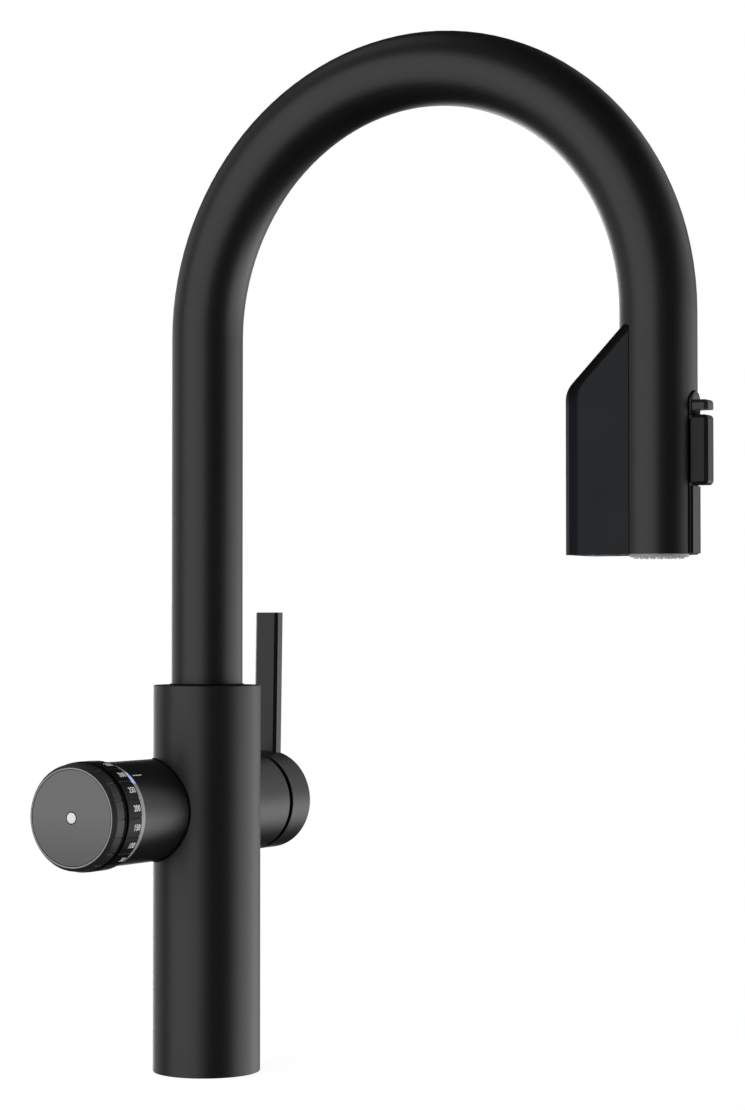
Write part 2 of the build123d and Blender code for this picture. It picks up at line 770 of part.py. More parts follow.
def make_aerator():
    """Middle jet insert with a ring of cells."""
    insert = disc(aerator_r, plate_bottom + aerator_recess, chamber_top, y=leg_y)
    insert -= disc(aerator_hole_r, plate_bottom, chamber_top + overshoot, y=leg_y)
    half = cell_width / 2
    cell = block(cell_inner_r, aerator_r - cell_rim, -half, half, plate_bottom, plate_bottom + cell_depth)
    turn = 360 / aerator_cells
    cells = [Pos(0, leg_y, 0) * Rot(0, 0, index * turn) * cell for index in range(aerator_cells)]
    return insert - cells


left_port, right_port, front_port = port_places()
parts = {
    "body_column": make_body_column(),
    "base_gasket": make_base_gasket(),
    "deck_insert": make_deck_insert(),
    "supply_tube_left": make_supply_tube(*left_port),
    "supply_tube_right": make_supply_tube(*right_port),
    "outlet_tube": make_supply_tube(*front_port),
    "mixer_core": make_mixer_core(),
    "stop_pin": make_stop_pin(),
    "thrust_washer": make_thrust_washer(),
    "swivel_sleeve": make_swivel_sleeve(),
    "cartridge_housing": make_cartridge_housing(),
    "cartridge_nut": make_cartridge_nut(),
    "dial_carrier": make_dial_carrier(),
    "light_ring": make_light_ring(),
    "encoder": make_encoder(),
    "encoder_board": make_encoder_board(),
    "spout_tube": make_spout_tube(),
    "spout_foot": make_spout_foot(),
    "hose_guide": make_hose_guide(),
    "spray_hose": make_spray_hose(),
    "fin_housing": make_fin_housing(),
    "fin_plate": make_fin_plate(),
    "filter_outlet": make_filter_outlet(),
    "spray_body": make_spray_body(),
    "control_strip": make_control_strip(),
    "pull_tab": make_pull_tab(),
    "nozzle_plate": make_nozzle_plate(),
    "nozzle_mat": make_nozzle_mat(),
    "aerator": make_aerator(),
    "hose_connector": make_hose_connector(),
    "connector_seal": make_connector_seal(),
    "spray_button": make_spray_button(),
    "dial_hub": make_dial_hub(),
    "scale_ring": make_scale_ring(),
    "grip_ring": make_grip_ring(),
    "dial_button": make_dial_button(),
    "dial_lens": make_dial_lens(),
    "cartridge_driver": make_cartridge_driver(),
    "driver_pin": make_driver_pin(),
    "spindle": make_spindle(),
    "handle_cap": make_handle_cap(),
    "lever_bar": make_lever_bar(),
}

os.makedirs("parts", exist_ok=True)
for name, solid in parts.items():
    solid.label = name
    export_step(solid, f"parts/{name}.step")
    print(name, round(solid.volume, 1))
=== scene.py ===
import math

import bpy
from mathutils import Matrix, Vector


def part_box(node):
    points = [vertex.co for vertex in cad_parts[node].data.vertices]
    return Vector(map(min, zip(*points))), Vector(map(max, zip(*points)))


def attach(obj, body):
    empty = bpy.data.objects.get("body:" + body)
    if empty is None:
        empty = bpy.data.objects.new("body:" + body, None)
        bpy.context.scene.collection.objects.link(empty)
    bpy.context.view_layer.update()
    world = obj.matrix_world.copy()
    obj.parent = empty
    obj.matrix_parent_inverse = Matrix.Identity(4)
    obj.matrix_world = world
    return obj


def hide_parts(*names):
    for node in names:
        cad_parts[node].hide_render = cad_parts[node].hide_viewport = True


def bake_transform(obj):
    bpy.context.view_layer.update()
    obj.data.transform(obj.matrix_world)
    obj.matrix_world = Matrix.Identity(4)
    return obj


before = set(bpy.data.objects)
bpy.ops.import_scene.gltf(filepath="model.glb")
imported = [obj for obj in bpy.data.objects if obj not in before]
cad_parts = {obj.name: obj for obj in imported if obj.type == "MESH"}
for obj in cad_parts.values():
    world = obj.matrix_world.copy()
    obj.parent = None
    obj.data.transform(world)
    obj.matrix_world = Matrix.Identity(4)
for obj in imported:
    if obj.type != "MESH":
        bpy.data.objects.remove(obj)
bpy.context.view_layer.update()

# Studio. A pale floor in a white room, with soft light banks to the left, to the right and
# behind the tap, and darkness above and in front of it. Lens and place are the photograph's.
scene = bpy.context.scene
scene.view_settings.view_transform = "Standard"

image_height_px = 1110
focal_px = 2748.35
sensor_mm = 36.0
camera_data = bpy.data.cameras.new("studio_camera")
camera_data.sensor_fit = "VERTICAL"
camera_data.sensor_height = sensor_mm
camera_data.lens = focal_px / image_height_px * sensor_mm
camera = bpy.data.objects.new("studio_camera", camera_data)
camera.location = (-1.0727, -0.7130, 0.20536)
camera_up_tilt = 1.54
camera_turn = -59.832
camera.rotation_euler = (math.radians(90 + camera_up_tilt), 0, math.radians(camera_turn))
scene.collection.objects.link(camera)
scene.camera = camera

world = bpy.data.worlds.new("studio_room")
world.use_nodes = True
scene.world = world
nodes, links = world.node_tree.nodes, world.node_tree.links
nodes.clear()


def calculated(nodes, links, operation, *inputs):
    """Math node fed by numbers and outputs."""
    node = nodes.new("ShaderNodeMath")
    node.operation = operation
    for socket, value in zip(node.inputs, inputs):
        if isinstance(value, (int, float)):
            socket.default_value = value
        else:
            links.new(value, socket)
    return node.outputs["Value"]


direction = nodes.new("ShaderNodeTexCoord")
room_axes = nodes.new("ShaderNodeSeparateXYZ")
links.new(direction.outputs["Generated"], room_axes.inputs["Vector"])
room_turn = calculated(nodes, links, "ARCTAN2", room_axes.outputs["Y"], room_axes.outputs["X"])
room_rise = calculated(nodes, links, "ARCSINE", room_axes.outputs["Z"])
camera_azimuth = math.atan2(camera.location.y, camera.location.x)


def soft_edged(away, half_size, edge):
    """One inside half_size degrees, fading to nothing over edge degrees on each side of it."""
    fade = nodes.new("ShaderNodeMapRange")
    fade.interpolation_type = "SMOOTHERSTEP"
    fade.inputs["From Min"].default_value = math.radians(half_size + edge)
    fade.inputs["From Max"].default_value = math.radians(max(half_size - edge, 0))
    links.new(away, fade.inputs["Value"])
    return fade.outputs["Result"]


def light_bank(turn, width, rise, height, edge, brightness):
    """One bank, turned right from the camera and raised from level, in degrees."""
    across = calculated(nodes, links, "SUBTRACT", room_turn, camera_azimuth + math.radians(turn))
    across = calculated(nodes, links, "WRAP", across, math.pi, -math.pi)
    across = calculated(nodes, links, "ABSOLUTE", across)
    upward = calculated(nodes, links, "SUBTRACT", room_rise, math.radians(rise))
    upward = calculated(nodes, links, "ABSOLUTE", upward)
    shape = calculated(nodes, links, "MULTIPLY", soft_edged(across, width / 2, edge),
                       soft_edged(upward, height / 2, edge))
    return calculated(nodes, links, "MULTIPLY", shape, brightness)


room_glow = 0.025
# Turn, width, rise, height and edge in degrees, then brightness.
light_banks = {
    "left": (-125, 30, 8, 40, 22, 0.68),
    "left_rim": (-168, 26, -6, 24, 10, 3.2),
    "left_high": (-125, 60, 54, 20, 12, 0.5),
    "right_low": (100, 76, -15, 16, 18, 2.5),
    "right": (100, 60, 10, 28, 16, 0.92),
    "right_high": (125, 60, 30, 20, 14, 0.65),
    "behind": (180, 110, -4, 24, 12, 0.45)}
room_light = room_glow
for bank in light_banks.values():
    room_light = calculated(nodes, links, "ADD", room_light, light_bank(*bank))
bank_light = nodes.new("ShaderNodeBackground")
links.new(room_light, bank_light.inputs["Strength"])
bank_light.inputs["Color"].default_value = (1, 1, 1, 1)
white = nodes.new("ShaderNodeBackground")
white.inputs["Color"].default_value = (1, 1, 1, 1)
seen = nodes.new("ShaderNodeLightPath")
room = nodes.new("ShaderNodeMixShader")
output = nodes.new("ShaderNodeOutputWorld")
links.new(seen.outputs["Is Camera Ray"], room.inputs["Fac"])
links.new(bank_light.outputs["Background"], room.inputs[1])
links.new(white.outputs["Background"], room.inputs[2])
links.new(room.outputs["Shader"], output.inputs["Surface"])

floor_r = 8.0
floor_drop = 0.0002
floor_tone = 0.40
floor_lift = 0.92
shadow_start = 0.15
shadow_reach = 0.45
bpy.ops.object.select_all(action="DESELECT")
bpy.ops.mesh.primitive_circle_add(vertices=128, radius=floor_r, fill_type="NGON",
                                  location=(0, 0, -floor_drop))
floor = bpy.context.object
floor.name = "studio_floor"
floor_paper = bpy.data.materials.new("studio_floor")
floor_paper.use_nodes = True
nodes, links = floor_paper.node_tree.nodes, floor_paper.node_tree.links
nodes.clear()
place = nodes.new("ShaderNodeTexCoord")
distance = nodes.new("ShaderNodeVectorMath")
distance.operation = "LENGTH"
fade = nodes.new("ShaderNodeMapRange")
fade.inputs["From Min"].default_value = shadow_start
fade.inputs["From Max"].default_value = shadow_reach
paper = nodes.new("ShaderNodeBsdfDiffuse")
paper.inputs["Color"].default_value = (floor_tone, floor_tone, floor_tone, 1)
lift = nodes.new("ShaderNodeEmission")
lift.inputs["Strength"].default_value = floor_lift
lit_paper = nodes.new("ShaderNodeAddShader")
far_white = nodes.new("ShaderNodeEmission")
camera_floor = nodes.new("ShaderNodeMixShader")
clear_floor = nodes.new("ShaderNodeBsdfTransparent")
seen = nodes.new("ShaderNodeLightPath")
both = nodes.new("ShaderNodeMixShader")
output = nodes.new("ShaderNodeOutputMaterial")
links.new(place.outputs["Object"], distance.inputs[0])
links.new(distance.outputs["Value"], fade.inputs["Value"])
links.new(paper.outputs["BSDF"], lit_paper.inputs[0])
links.new(lift.outputs["Emission"], lit_paper.inputs[1])
links.new(fade.outputs["Result"], camera_floor.inputs["Fac"])
links.new(lit_paper.outputs["Shader"], camera_floor.inputs[1])
links.new(far_white.outputs["Emission"], camera_floor.inputs[2])
links.new(seen.outputs["Is Camera Ray"], both.inputs["Fac"])
links.new(clear_floor.outputs["BSDF"], both.inputs[1])
links.new(camera_floor.outputs["Shader"], both.inputs[2])
links.new(both.outputs["Shader"], output.inputs["Surface"])
floor.data.materials.append(floor_paper)

middle_of_tap = Vector((0, -0.10, 0.20))
panel_distance = 1.5


def light_panel(name, turn, rise, width, height, brightness):
    """Flat soft panel that faces the tap, turned right from the camera and raised, in degrees."""
    azimuth = camera_azimuth + math.radians(turn)
    upward = math.radians(rise)
    level = math.cos(upward)
    toward = Vector((math.cos(azimuth) * level, math.sin(azimuth) * level, math.sin(upward)))
    data = bpy.data.lights.new(name, "AREA")
    data.shape = "RECTANGLE"
    data.size = width
    data.size_y = height
    data.energy = brightness * math.pi * width * height
    panel = bpy.data.objects.new(name, data)
    panel.location = middle_of_tap + panel_distance * toward
    panel.rotation_euler = toward.to_track_quat("Z", "Y").to_euler()
    panel.visible_camera = False
    scene.collection.objects.link(panel)


light_panel("left_panel", turn=-50, rise=4, width=2.3, height=2.4, brightness=1.33)

# Body column. A brass casting with the two side necks, blasted and coated with a fine matte
# black powder that is baked on. A short white line printed on the dial's neck is its index.
mm = 0.001


def new_finish(name, colour, roughness):
    """Material of one finish, with its nodes, its links and its shader."""
    material = bpy.data.materials.new(name)
    material.use_nodes = True
    tree = material.node_tree
    shader = tree.nodes["Principled BSDF"]
    shader.inputs["Base Color"].default_value = (*colour, 1)
    shader.inputs["Roughness"].default_value = roughness
    return material, tree.nodes, tree.links, shader


def pattern_place(nodes, links, stretch=(1, 1, 1), centre=(0, 0, 0)):
    """Object coordinates, moved to a centre and scaled along each axis."""
    place = nodes.new("ShaderNodeTexCoord")
    mapping = nodes.new("ShaderNodeMapping")
    mapping.vector_type = "POINT"
    mapping.inputs["Scale"].default_value = stretch
    mapping.inputs["Location"].default_value = [-c * s for c, s in zip(centre, stretch)]
    links.new(place.outputs["Object"], mapping.inputs["Vector"])
    return mapping.outputs["Vector"]


def noise(nodes, links, place, scale, detail=2.0):
    """Cloudy pattern at a place."""
    cloud = nodes.new("ShaderNodeTexNoise")
    cloud.inputs["Scale"].default_value = scale
    cloud.inputs["Detail"].default_value = detail
    links.new(place, cloud.inputs["Vector"])
    return cloud.outputs["Fac"]


def ramp(nodes, links, value, low, high, from_low=0.3, from_high=0.7):
    """A value moved from one span to another, held at its ends."""
    node = nodes.new("ShaderNodeMapRange")
    node.inputs["From Min"].default_value = from_low
    node.inputs["From Max"].default_value = from_high
    node.inputs["To Min"].default_value = low
    node.inputs["To Max"].default_value = high
    links.new(value, node.inputs["Value"])
    return node.outputs["Result"]


def tones(nodes, links, value, dark, light):
    """Colour between two tones, each a colour or another output."""
    mix = nodes.new("ShaderNodeMix")
    mix.data_type = "RGBA"
    links.new(value, mix.inputs["Factor"])
    for socket, tone in (("A", dark), ("B", light)):
        if isinstance(tone, tuple):
            mix.inputs[socket].default_value = (*tone, 1)
        else:
            links.new(tone, mix.inputs[socket])
    return mix.outputs["Result"]


def raised(nodes, links, shader, height, depth, strength=0.3):
    """Bump from a height pattern, with its depth in metres."""
    bump = nodes.new("ShaderNodeBump")
    bump.inputs["Strength"].default_value = strength
    bump.inputs["Distance"].default_value = depth
    links.new(height, bump.inputs["Height"])
    links.new(bump.outputs["Normal"], shader.inputs["Normal"])


def grained(name, dark, light, cloud_scale, grain_scale, rough, depth=0.00001, shine=0.5):
    """Coat or moulding with drifting tone and a fine grain that also sets its gloss."""
    material, nodes, links, shader = new_finish(name, dark, rough[0])
    place = pattern_place(nodes, links)
    cloud = ramp(nodes, links, noise(nodes, links, place, cloud_scale, 3.0), 0, 1)
    grain = noise(nodes, links, place, grain_scale)
    links.new(tones(nodes, links, cloud, dark, light), shader.inputs["Base Color"])
    links.new(ramp(nodes, links, grain, *rough), shader.inputs["Roughness"])
    raised(nodes, links, shader, grain, depth)
    shader.inputs["Specular IOR Level"].default_value = shine
    return material


def dress(material, *names):
    """Puts a finish on CAD nodes."""
    for name in names:
        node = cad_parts[name]
        node.data.materials.clear()
        node.data.materials.append(material)


black_coat = grained(
    "black_coat", (0.0072, 0.0075, 0.0074), (0.0098, 0.0102, 0.0100),
    cloud_scale=60, grain_scale=4200, rough=(0.36, 0.44))
dress(black_coat, "body_column")

print_white = grained(
    "print_white", (0.90, 0.90, 0.90), (0.94, 0.94, 0.94),
    cloud_scale=300, grain_scale=9000, rough=(0.45, 0.55), depth=0.000004)


def painted_glow(material, colour, strength):
    """Gives a finish a faint painted glow, emission that brightens it as painted light."""
    shader = material.node_tree.nodes["Principled BSDF"]
    shader.inputs["Emission Color"].default_value = (*colour, 1)
    shader.inputs["Emission Strength"].default_value = strength


# The white print's faint glow is painted light that brightens it.
painted_ink_glow = 0.16
painted_glow(print_white, (1, 1, 1), painted_ink_glow)

lens_low, lens_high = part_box("dial_lens")
axis_y = (lens_low[1] + lens_high[1]) / 2
axis_z = (lens_low[2] + lens_high[2]) / 2
light_ring_low, light_ring_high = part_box("light_ring")
neck_end = light_ring_high[0]
neck_r = (light_ring_high[2] - light_ring_low[2]) / 2


def alone(piece):
    """Selects one piece and nothing else."""
    bpy.ops.object.select_all(action="DESELECT")
    piece.select_set(True)
    bpy.context.view_layer.objects.active = piece


def begin(name, finish):
    """Names the newest object and gives it its finish."""
    piece = bpy.context.object
    piece.name = name
    piece.data.name = name
    piece.data.materials.clear()
    piece.data.materials.append(finish)
    return piece


def finished(piece, body, smooth_angle=30):
    """Puts the piece's place into its mesh, smooths it and makes it ride on its body."""
    alone(piece)
    bpy.ops.object.transform_apply(location=True, rotation=True, scale=True)
    bpy.ops.object.shade_smooth_by_angle(angle=math.radians(smooth_angle))
    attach(piece, body)


def bevelled(piece, width, segments):
    """Takes the sharpness off every edge of a piece."""
    alone(piece)
    bpy.ops.object.mode_set(mode="EDIT")
    bpy.ops.mesh.select_all(action="SELECT")
    bpy.ops.mesh.bevel(offset=width, segments=segments)
    bpy.ops.object.mode_set(mode="OBJECT")


def block(name, finish, size, place, bevel, segments, turn=0.0):
    """Block of a size at a place, turned about X in degrees, with its edges bevelled."""
    bpy.ops.object.select_all(action="DESELECT")
    bpy.ops.mesh.primitive_cube_add(size=1, location=place, rotation=(math.radians(turn), 0, 0))
    piece = begin(name, finish)
    piece.scale = size
    alone(piece)
    bpy.ops.object.transform_apply(location=False, rotation=False, scale=True)
    bevelled(piece, bevel, segments)
    return piece


def around_axis(x, radius, turn):
    """Point on the side axis' cylinder, turned in degrees from the front downward."""
    angle = math.radians(turn)
    return Vector((x, axis_y - radius * math.cos(angle), axis_z - radius * math.sin(angle)))


index_turn = -50.0
index_width = 0.45 * mm
index_length = 6.85 * mm
index_gap = 1.95 * mm
print_thickness = 0.10 * mm
print_bevel = 0.02 * mm
index_middle = around_axis(neck_end + index_gap + index_length / 2, neck_r, index_turn)
index_line = block("index_line", print_white, (index_length, print_thickness, index_width),
                   index_middle, print_bevel, 2, index_turn)
finished(index_line, "base")

# Painted shade lines. Fine black beads of painted shade lie in the corner where each neck runs
# into the column, on the column's lip round the riser, and where the fin's sides meet the outlet
# leg.
shade_black = grained(
    "shade_black", (0.0012, 0.0012, 0.0012), (0.0020, 0.0020, 0.0020),
    cloud_scale=120, grain_scale=3600, rough=(0.70, 0.80), depth=0.000006, shine=0.10)
column_r = 25.0 * mm


def shade_bead(name, points, section_r, body):
    """Thin black bead of painted shade laid along points."""
    path = bpy.data.curves.new(name, "CURVE")
    path.dimensions = "3D"
    path.bevel_depth = section_r
    path.bevel_resolution = 3
    path.use_fill_caps = True
    run = path.splines.new("POLY")
    run.points.add(len(points) - 1)
    for point, place in zip(run.points, points):
        point.co = (*place, 1)
    line = bpy.data.objects.new(name, path)
    scene.collection.objects.link(line)
    alone(line)
    bpy.ops.object.convert(target="MESH")
    finished(begin(name, shade_black), body, 60)


merge_gap = 0.002 * mm


def closed_mesh():
    """Merges doubled corners, turns the faces outwards and leaves edit mode."""
    bpy.ops.mesh.select_all(action="SELECT")
    bpy.ops.mesh.remove_doubles(threshold=merge_gap)
    bpy.ops.mesh.normals_make_consistent(inside=False)
    bpy.ops.object.mode_set(mode="OBJECT")


def spun_ring(name, finish, section_r, ring_r, centre, along, body,
              sides=10, steps=120, squash=1.0):
    """Round bead spun about an axis along X or Z, flattened along that axis if asked."""
    bpy.ops.object.select_all(action="DESELECT")
    start = centre + Vector((0, ring_r, 0))
    upright = along == "X"
    bpy.ops.mesh.primitive_circle_add(vertices=sides, radius=section_r, location=start,
                                      rotation=(0, 0, 0) if upright else (0, math.radians(90), 0))
    ring = begin(name, finish)
    axis = Vector((1, 0, 0)) if upright else Vector((0, 0, 1))
    alone(ring)
    bpy.ops.object.transform_apply(location=True, rotation=True, scale=True)
    bpy.ops.object.mode_set(mode="EDIT")
    bpy.ops.mesh.select_all(action="SELECT")
    flat = (squash, 1, 1) if upright else (1, 1, squash)
    bpy.ops.transform.resize(value=flat, center_override=start)
    bpy.ops.mesh.spin(steps=steps, angle=2 * math.pi, center=centre, axis=axis)
    closed_mesh()
    finished(ring, body, 60)


lip_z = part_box("body_column")[1][2]
# A thin black disc on the column's lip and a black bead round the riser's foot are painted shade.
riser_r = 16.6 * mm
riser_shade_r = riser_r + 0.30 * mm
riser_shade_z = lip_z + 0.25 * mm
riser_shade_section = 0.45 * mm
lip_middle_r = 20.6 * mm
lip_half_width = 3.7 * mm
spun_ring("lip_shade", shade_black, lip_half_width, lip_middle_r, Vector((0, 0, lip_z)),
          "Z", "base", sides=16, squash=0.035)
spun_ring("riser_shade", shade_black, riser_shade_section, riser_shade_r,
          Vector((0, 0, riser_shade_z)), "Z", "base")

# Black beads in the corners where the necks run into the column are painted shade.
neck_shade_steps = 60
neck_shade_turn = 107.0
neck_shade_r = 0.42 * mm
neck_shade_lift = 0.12 * mm
for name, side in (("neck_shade_dial", -1), ("neck_shade_lever", 1)):
    corner_points = []
    for step in range(neck_shade_steps + 1):
        turn = neck_shade_turn * (2 * step / neck_shade_steps - 1)
        point = around_axis(0, neck_r + neck_shade_lift, turn)
        point.x = side * math.sqrt((column_r + neck_shade_lift) ** 2 - point.y ** 2)
        corner_points.append(point)
    shade_bead(name, corner_points, neck_shade_r, "base")

leg_r = 16.6 * mm
fin_low, fin_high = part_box("fin_housing")
leg_centre_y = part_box("spout_tube")[0][1] + leg_r
fin_half_width = (fin_high[0] - fin_low[0]) / 2
# Black beads where the fin's sides meet the outlet leg are painted shade.
fin_shade_x = fin_half_width + 0.02 * mm
fin_shade_y = leg_centre_y + math.sqrt(leg_r ** 2 - fin_half_width ** 2)
fin_shade_bottom = fin_low[2] + 0.2 * mm
fin_shade_top = 334.0 * mm
fin_shade_r = 0.16 * mm
for name, side in (("fin_shade_left", -1), ("fin_shade_right", 1)):
    shade_bead(name, [Vector((side * fin_shade_x, fin_shade_y, height))
                for height in (fin_shade_bottom, fin_shade_top)], fin_shade_r, "spout")

# Foot. A brass insert closes the column's bottom and a flat rubber ring lies round it. Its ports
# are threaded for the stud, the two supply hoses and the mixed water's hose.


def metal(name, dark, light, stretch, line_scale, rough, depth=0.00001):
    """Bare metal with tool lines along the axes that the stretch leaves short."""
    material, nodes, links, shader = new_finish(name, dark, rough[0])
    lines = noise(nodes, links, pattern_place(nodes, links, stretch), line_scale, 3.0)
    cloud = ramp(nodes, links, noise(nodes, links, pattern_place(nodes, links), 90, 2.0), 0, 1)
    links.new(tones(nodes, links, cloud, dark, light), shader.inputs["Base Color"])
    links.new(ramp(nodes, links, lines, *rough), shader.inputs["Roughness"])
    raised(nodes, links, shader, lines, depth)
    shader.inputs["Metallic"].default_value = 1.0
    return material


turned_brass = metal(
    "turned_brass", (0.52, 0.37, 0.16), (0.62, 0.46, 0.22),
    stretch=(0.1, 0.1, 1), line_scale=2600, rough=(0.22, 0.34))
dress(turned_brass, "deck_insert")
gasket_rubber = grained(
    "gasket_rubber", (0.013, 0.013, 0.013), (0.021, 0.021, 0.020),
    cloud_scale=160, grain_scale=2600, rough=(0.60, 0.72), depth=0.00002)
dress(gasket_rubber, "base_gasket")

insert_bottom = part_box("deck_insert")[0][2]
port_circle_r = 12.2 * mm
port_r = 4.5 * mm
stud_hole_r = 3.4 * mm
port_pitch = 1.0 * mm
stud_pitch = 1.25 * mm
thread_turns = 8


def thread(name, x, y, radius, pitch, turns):
    """Helical ridge inside a port, wound from a small triangle."""
    start = insert_bottom + pitch / 2
    bpy.ops.object.select_all(action="DESELECT")
    bpy.ops.mesh.primitive_circle_add(vertices=3, radius=pitch / 2, location=(x, y, start),
                                      rotation=(math.radians(90), 0, 0))
    ridge = begin(name, turned_brass)
    alone(ridge)
    bpy.ops.object.transform_apply(location=False, rotation=True, scale=False)
    bpy.ops.object.mode_set(mode="EDIT")
    bpy.ops.mesh.select_all(action="SELECT")
    bpy.ops.transform.translate(value=(radius, 0, 0))
    bpy.ops.object.mode_set(mode="OBJECT")
    wound = ridge.modifiers.new("wound", "SCREW")
    wound.axis = "Z"
    wound.steps = wound.render_steps = 20
    wound.screw_offset = pitch
    wound.iterations = turns
    wound.use_normal_calculate = True
    bpy.ops.object.modifier_apply(modifier="wound")
    bpy.ops.object.mode_set(mode="EDIT")
    bpy.ops.mesh.select_all(action="DESELECT")
    bpy.ops.mesh.select_non_manifold()
    bpy.ops.mesh.fill()
    bpy.ops.mesh.select_all(action="SELECT")
    bpy.ops.mesh.normals_make_consistent(inside=False)
    bpy.ops.object.mode_set(mode="OBJECT")
    finished(ridge, "base", 40)


for name, x, y, radius, pitch in (
        ("thread_left", -port_circle_r, 0, port_r, port_pitch),
        ("thread_right", port_circle_r, 0, port_r, port_pitch),
        ("thread_front", 0, -port_circle_r, port_r, port_pitch),
        ("thread_stud", 0, port_circle_r, stud_hole_r, stud_pitch)):
    thread(name, x, y, radius, pitch, thread_turns)

# Supply tubes. Drawn copper, soldered into the mixer core, with the faint lengthwise lines of
# drawing and a browner tone in patches.
drawn_copper = metal(
    "drawn_copper", (0.50, 0.24, 0.15), (0.66, 0.35, 0.24),
    stretch=(1, 1, 0.06), line_scale=1800, rough=(0.25, 0.40))
dress(drawn_copper, "supply_tube_left", "supply_tube_right", "outlet_tube")

# Mixer core. Cast and machined brass that fills the column at the height of the side axis, with
# the steel stop pin of the swivel and the white washer that carries the spout.
ground_steel = metal(
    "ground_steel", (0.26, 0.26, 0.27), (0.36, 0.36, 0.37),
    stretch=(1, 1, 0.1), line_scale=3000, rough=(0.28, 0.40), depth=0.000006)
acetal_white = grained(
    "acetal_white", (0.70, 0.70, 0.67), (0.80, 0.80, 0.78),
    cloud_scale=120, grain_scale=3000, rough=(0.38, 0.50))
dress(turned_brass, "mixer_core")
dress(ground_steel, "stop_pin")
dress(acetal_white, "thrust_washer")

# Lever cartridge. A grey plastic housing with a turning driver, a steel cross pin and a square
# steel spindle, clamped in the right neck by a notched brass nut.
cartridge_grey = grained(
    "cartridge_grey", (0.25, 0.26, 0.28), (0.33, 0.34, 0.36),
    cloud_scale=140, grain_scale=2800, rough=(0.40, 0.52))
dress(cartridge_grey, "cartridge_housing", "cartridge_driver")
dress(turned_brass, "cartridge_nut")
dress(ground_steel, "driver_pin", "spindle")

# Dial's inner pieces. The black plastic carrier, the hub's shaft and the sealed encoder, with its
# green circuit board behind it.
soft_black = grained(
    "soft_black", (0.008, 0.008, 0.008), (0.012, 0.012, 0.012),
    cloud_scale=90, grain_scale=3600, rough=(0.44, 0.54), shine=0.35)
dress(soft_black, "dial_carrier", "dial_hub", "encoder")


def circuit_board():
    """Green board with copper tracks under its lacquer and rows of pads."""
    material, nodes, links, shader = new_finish("circuit_board", (0.02, 0.14, 0.06), 0.32)
    place = nodes.new("ShaderNodeTexCoord")
    turned = nodes.new("ShaderNodeMapping")
    turned.inputs["Rotation"].default_value = (0, math.radians(90), 0)
    links.new(place.outputs["Object"], turned.inputs["Vector"])
    tracks = nodes.new("ShaderNodeTexBrick")
    tracks.inputs["Scale"].default_value = 420
    tracks.inputs["Mortar Size"].default_value = 0.06
    tracks.inputs["Color1"].default_value = (0.016, 0.13, 0.055, 1)
    tracks.inputs["Color2"].default_value = (0.022, 0.16, 0.070, 1)
    tracks.inputs["Mortar"].default_value = (0.06, 0.26, 0.10, 1)
    links.new(turned.outputs["Vector"], tracks.inputs["Vector"])
    cloud = ramp(nodes, links, noise(nodes, links, place.outputs["Object"], 200), 0.0, 0.3)
    lacquer = tones(nodes, links, cloud, tracks.outputs["Color"], (0.01, 0.08, 0.03))
    links.new(lacquer, shader.inputs["Base Color"])
    raised(nodes, links, shader, tracks.outputs["Fac"], 0.00003, 0.2)
    return material


dress(circuit_board(), "encoder_board")

# Light ring. Milky polycarbonate lit from behind. A short arc next to the index line glows blue
# and the rest is off, with a faint painted glow that brightens its milk.


def split_axes(nodes, links, place):
    """A place's distances along X, Y and Z."""
    axes = nodes.new("ShaderNodeSeparateXYZ")
    links.new(place, axes.inputs["Vector"])
    return axes.outputs["X"], axes.outputs["Y"], axes.outputs["Z"]


def milky_ring():
    """Milky ring with its blue arc, which runs between two turns from the front downward."""
    material, nodes, links, shader = new_finish("milky_ring", (0.50, 0.50, 0.51), 0.42)
    arc_start, arc_end, arc_edge = math.radians(-55.0), math.radians(-40.0), math.radians(2.0)
    place = pattern_place(nodes, links, centre=(0, axis_y, axis_z))
    _, rearward, upward = split_axes(nodes, links, place)
    front = calculated(nodes, links, "MULTIPLY", rearward, -1.0)
    down = calculated(nodes, links, "MULTIPLY", upward, -1.0)
    turn = calculated(nodes, links, "ARCTAN2", down, front)
    after = ramp(nodes, links, turn, 0, 1, arc_start - arc_edge, arc_start)
    before = ramp(nodes, links, turn, 1, 0, arc_end, arc_end + arc_edge)
    lit = calculated(nodes, links, "MULTIPLY", after, before)
    cloud = ramp(nodes, links, noise(nodes, links, place, 180, 3.0), 0, 1)
    milk = tones(nodes, links, cloud, (0.40, 0.40, 0.41), (0.47, 0.47, 0.48))
    links.new(tones(nodes, links, lit, milk, (0.58, 0.61, 0.84)), shader.inputs["Base Color"])
    # The blue arc's glow is the ring's own light; the faint grey glow of the rest is painted
    # light.
    arc_and_painted_glow = tones(nodes, links, lit, (0.05, 0.05, 0.05), (0.25, 0.27, 0.50))
    links.new(arc_and_painted_glow, shader.inputs["Emission Color"])
    shader.inputs["Emission Strength"].default_value = 1.0
    links.new(ramp(nodes, links, cloud, 0.38, 0.46, 0, 1), shader.inputs["Roughness"])
    shader.inputs["Subsurface Weight"].default_value = 0.15
    shader.inputs["Subsurface Radius"].default_value = (0.001, 0.001, 0.001)
    return material


dress(milky_ring(), "light_ring")

# Scale ring. Black anodised aluminium with a line at each of eighteen steps. The numbers of
# millilitres are printed in white, in raised ink, and read from the neck's side.
dial_black = grained(
    "dial_black", (0.010, 0.0104, 0.0102), (0.0135, 0.014, 0.0138),
    cloud_scale=90, grain_scale=3400, rough=(0.34, 0.44))
scale_black = grained(
    "scale_black", (0.0050, 0.0053, 0.0052), (0.0075, 0.0078, 0.0077),
    cloud_scale=90, grain_scale=3400, rough=(0.40, 0.50), shine=0.15)
dress(scale_black, "scale_ring")

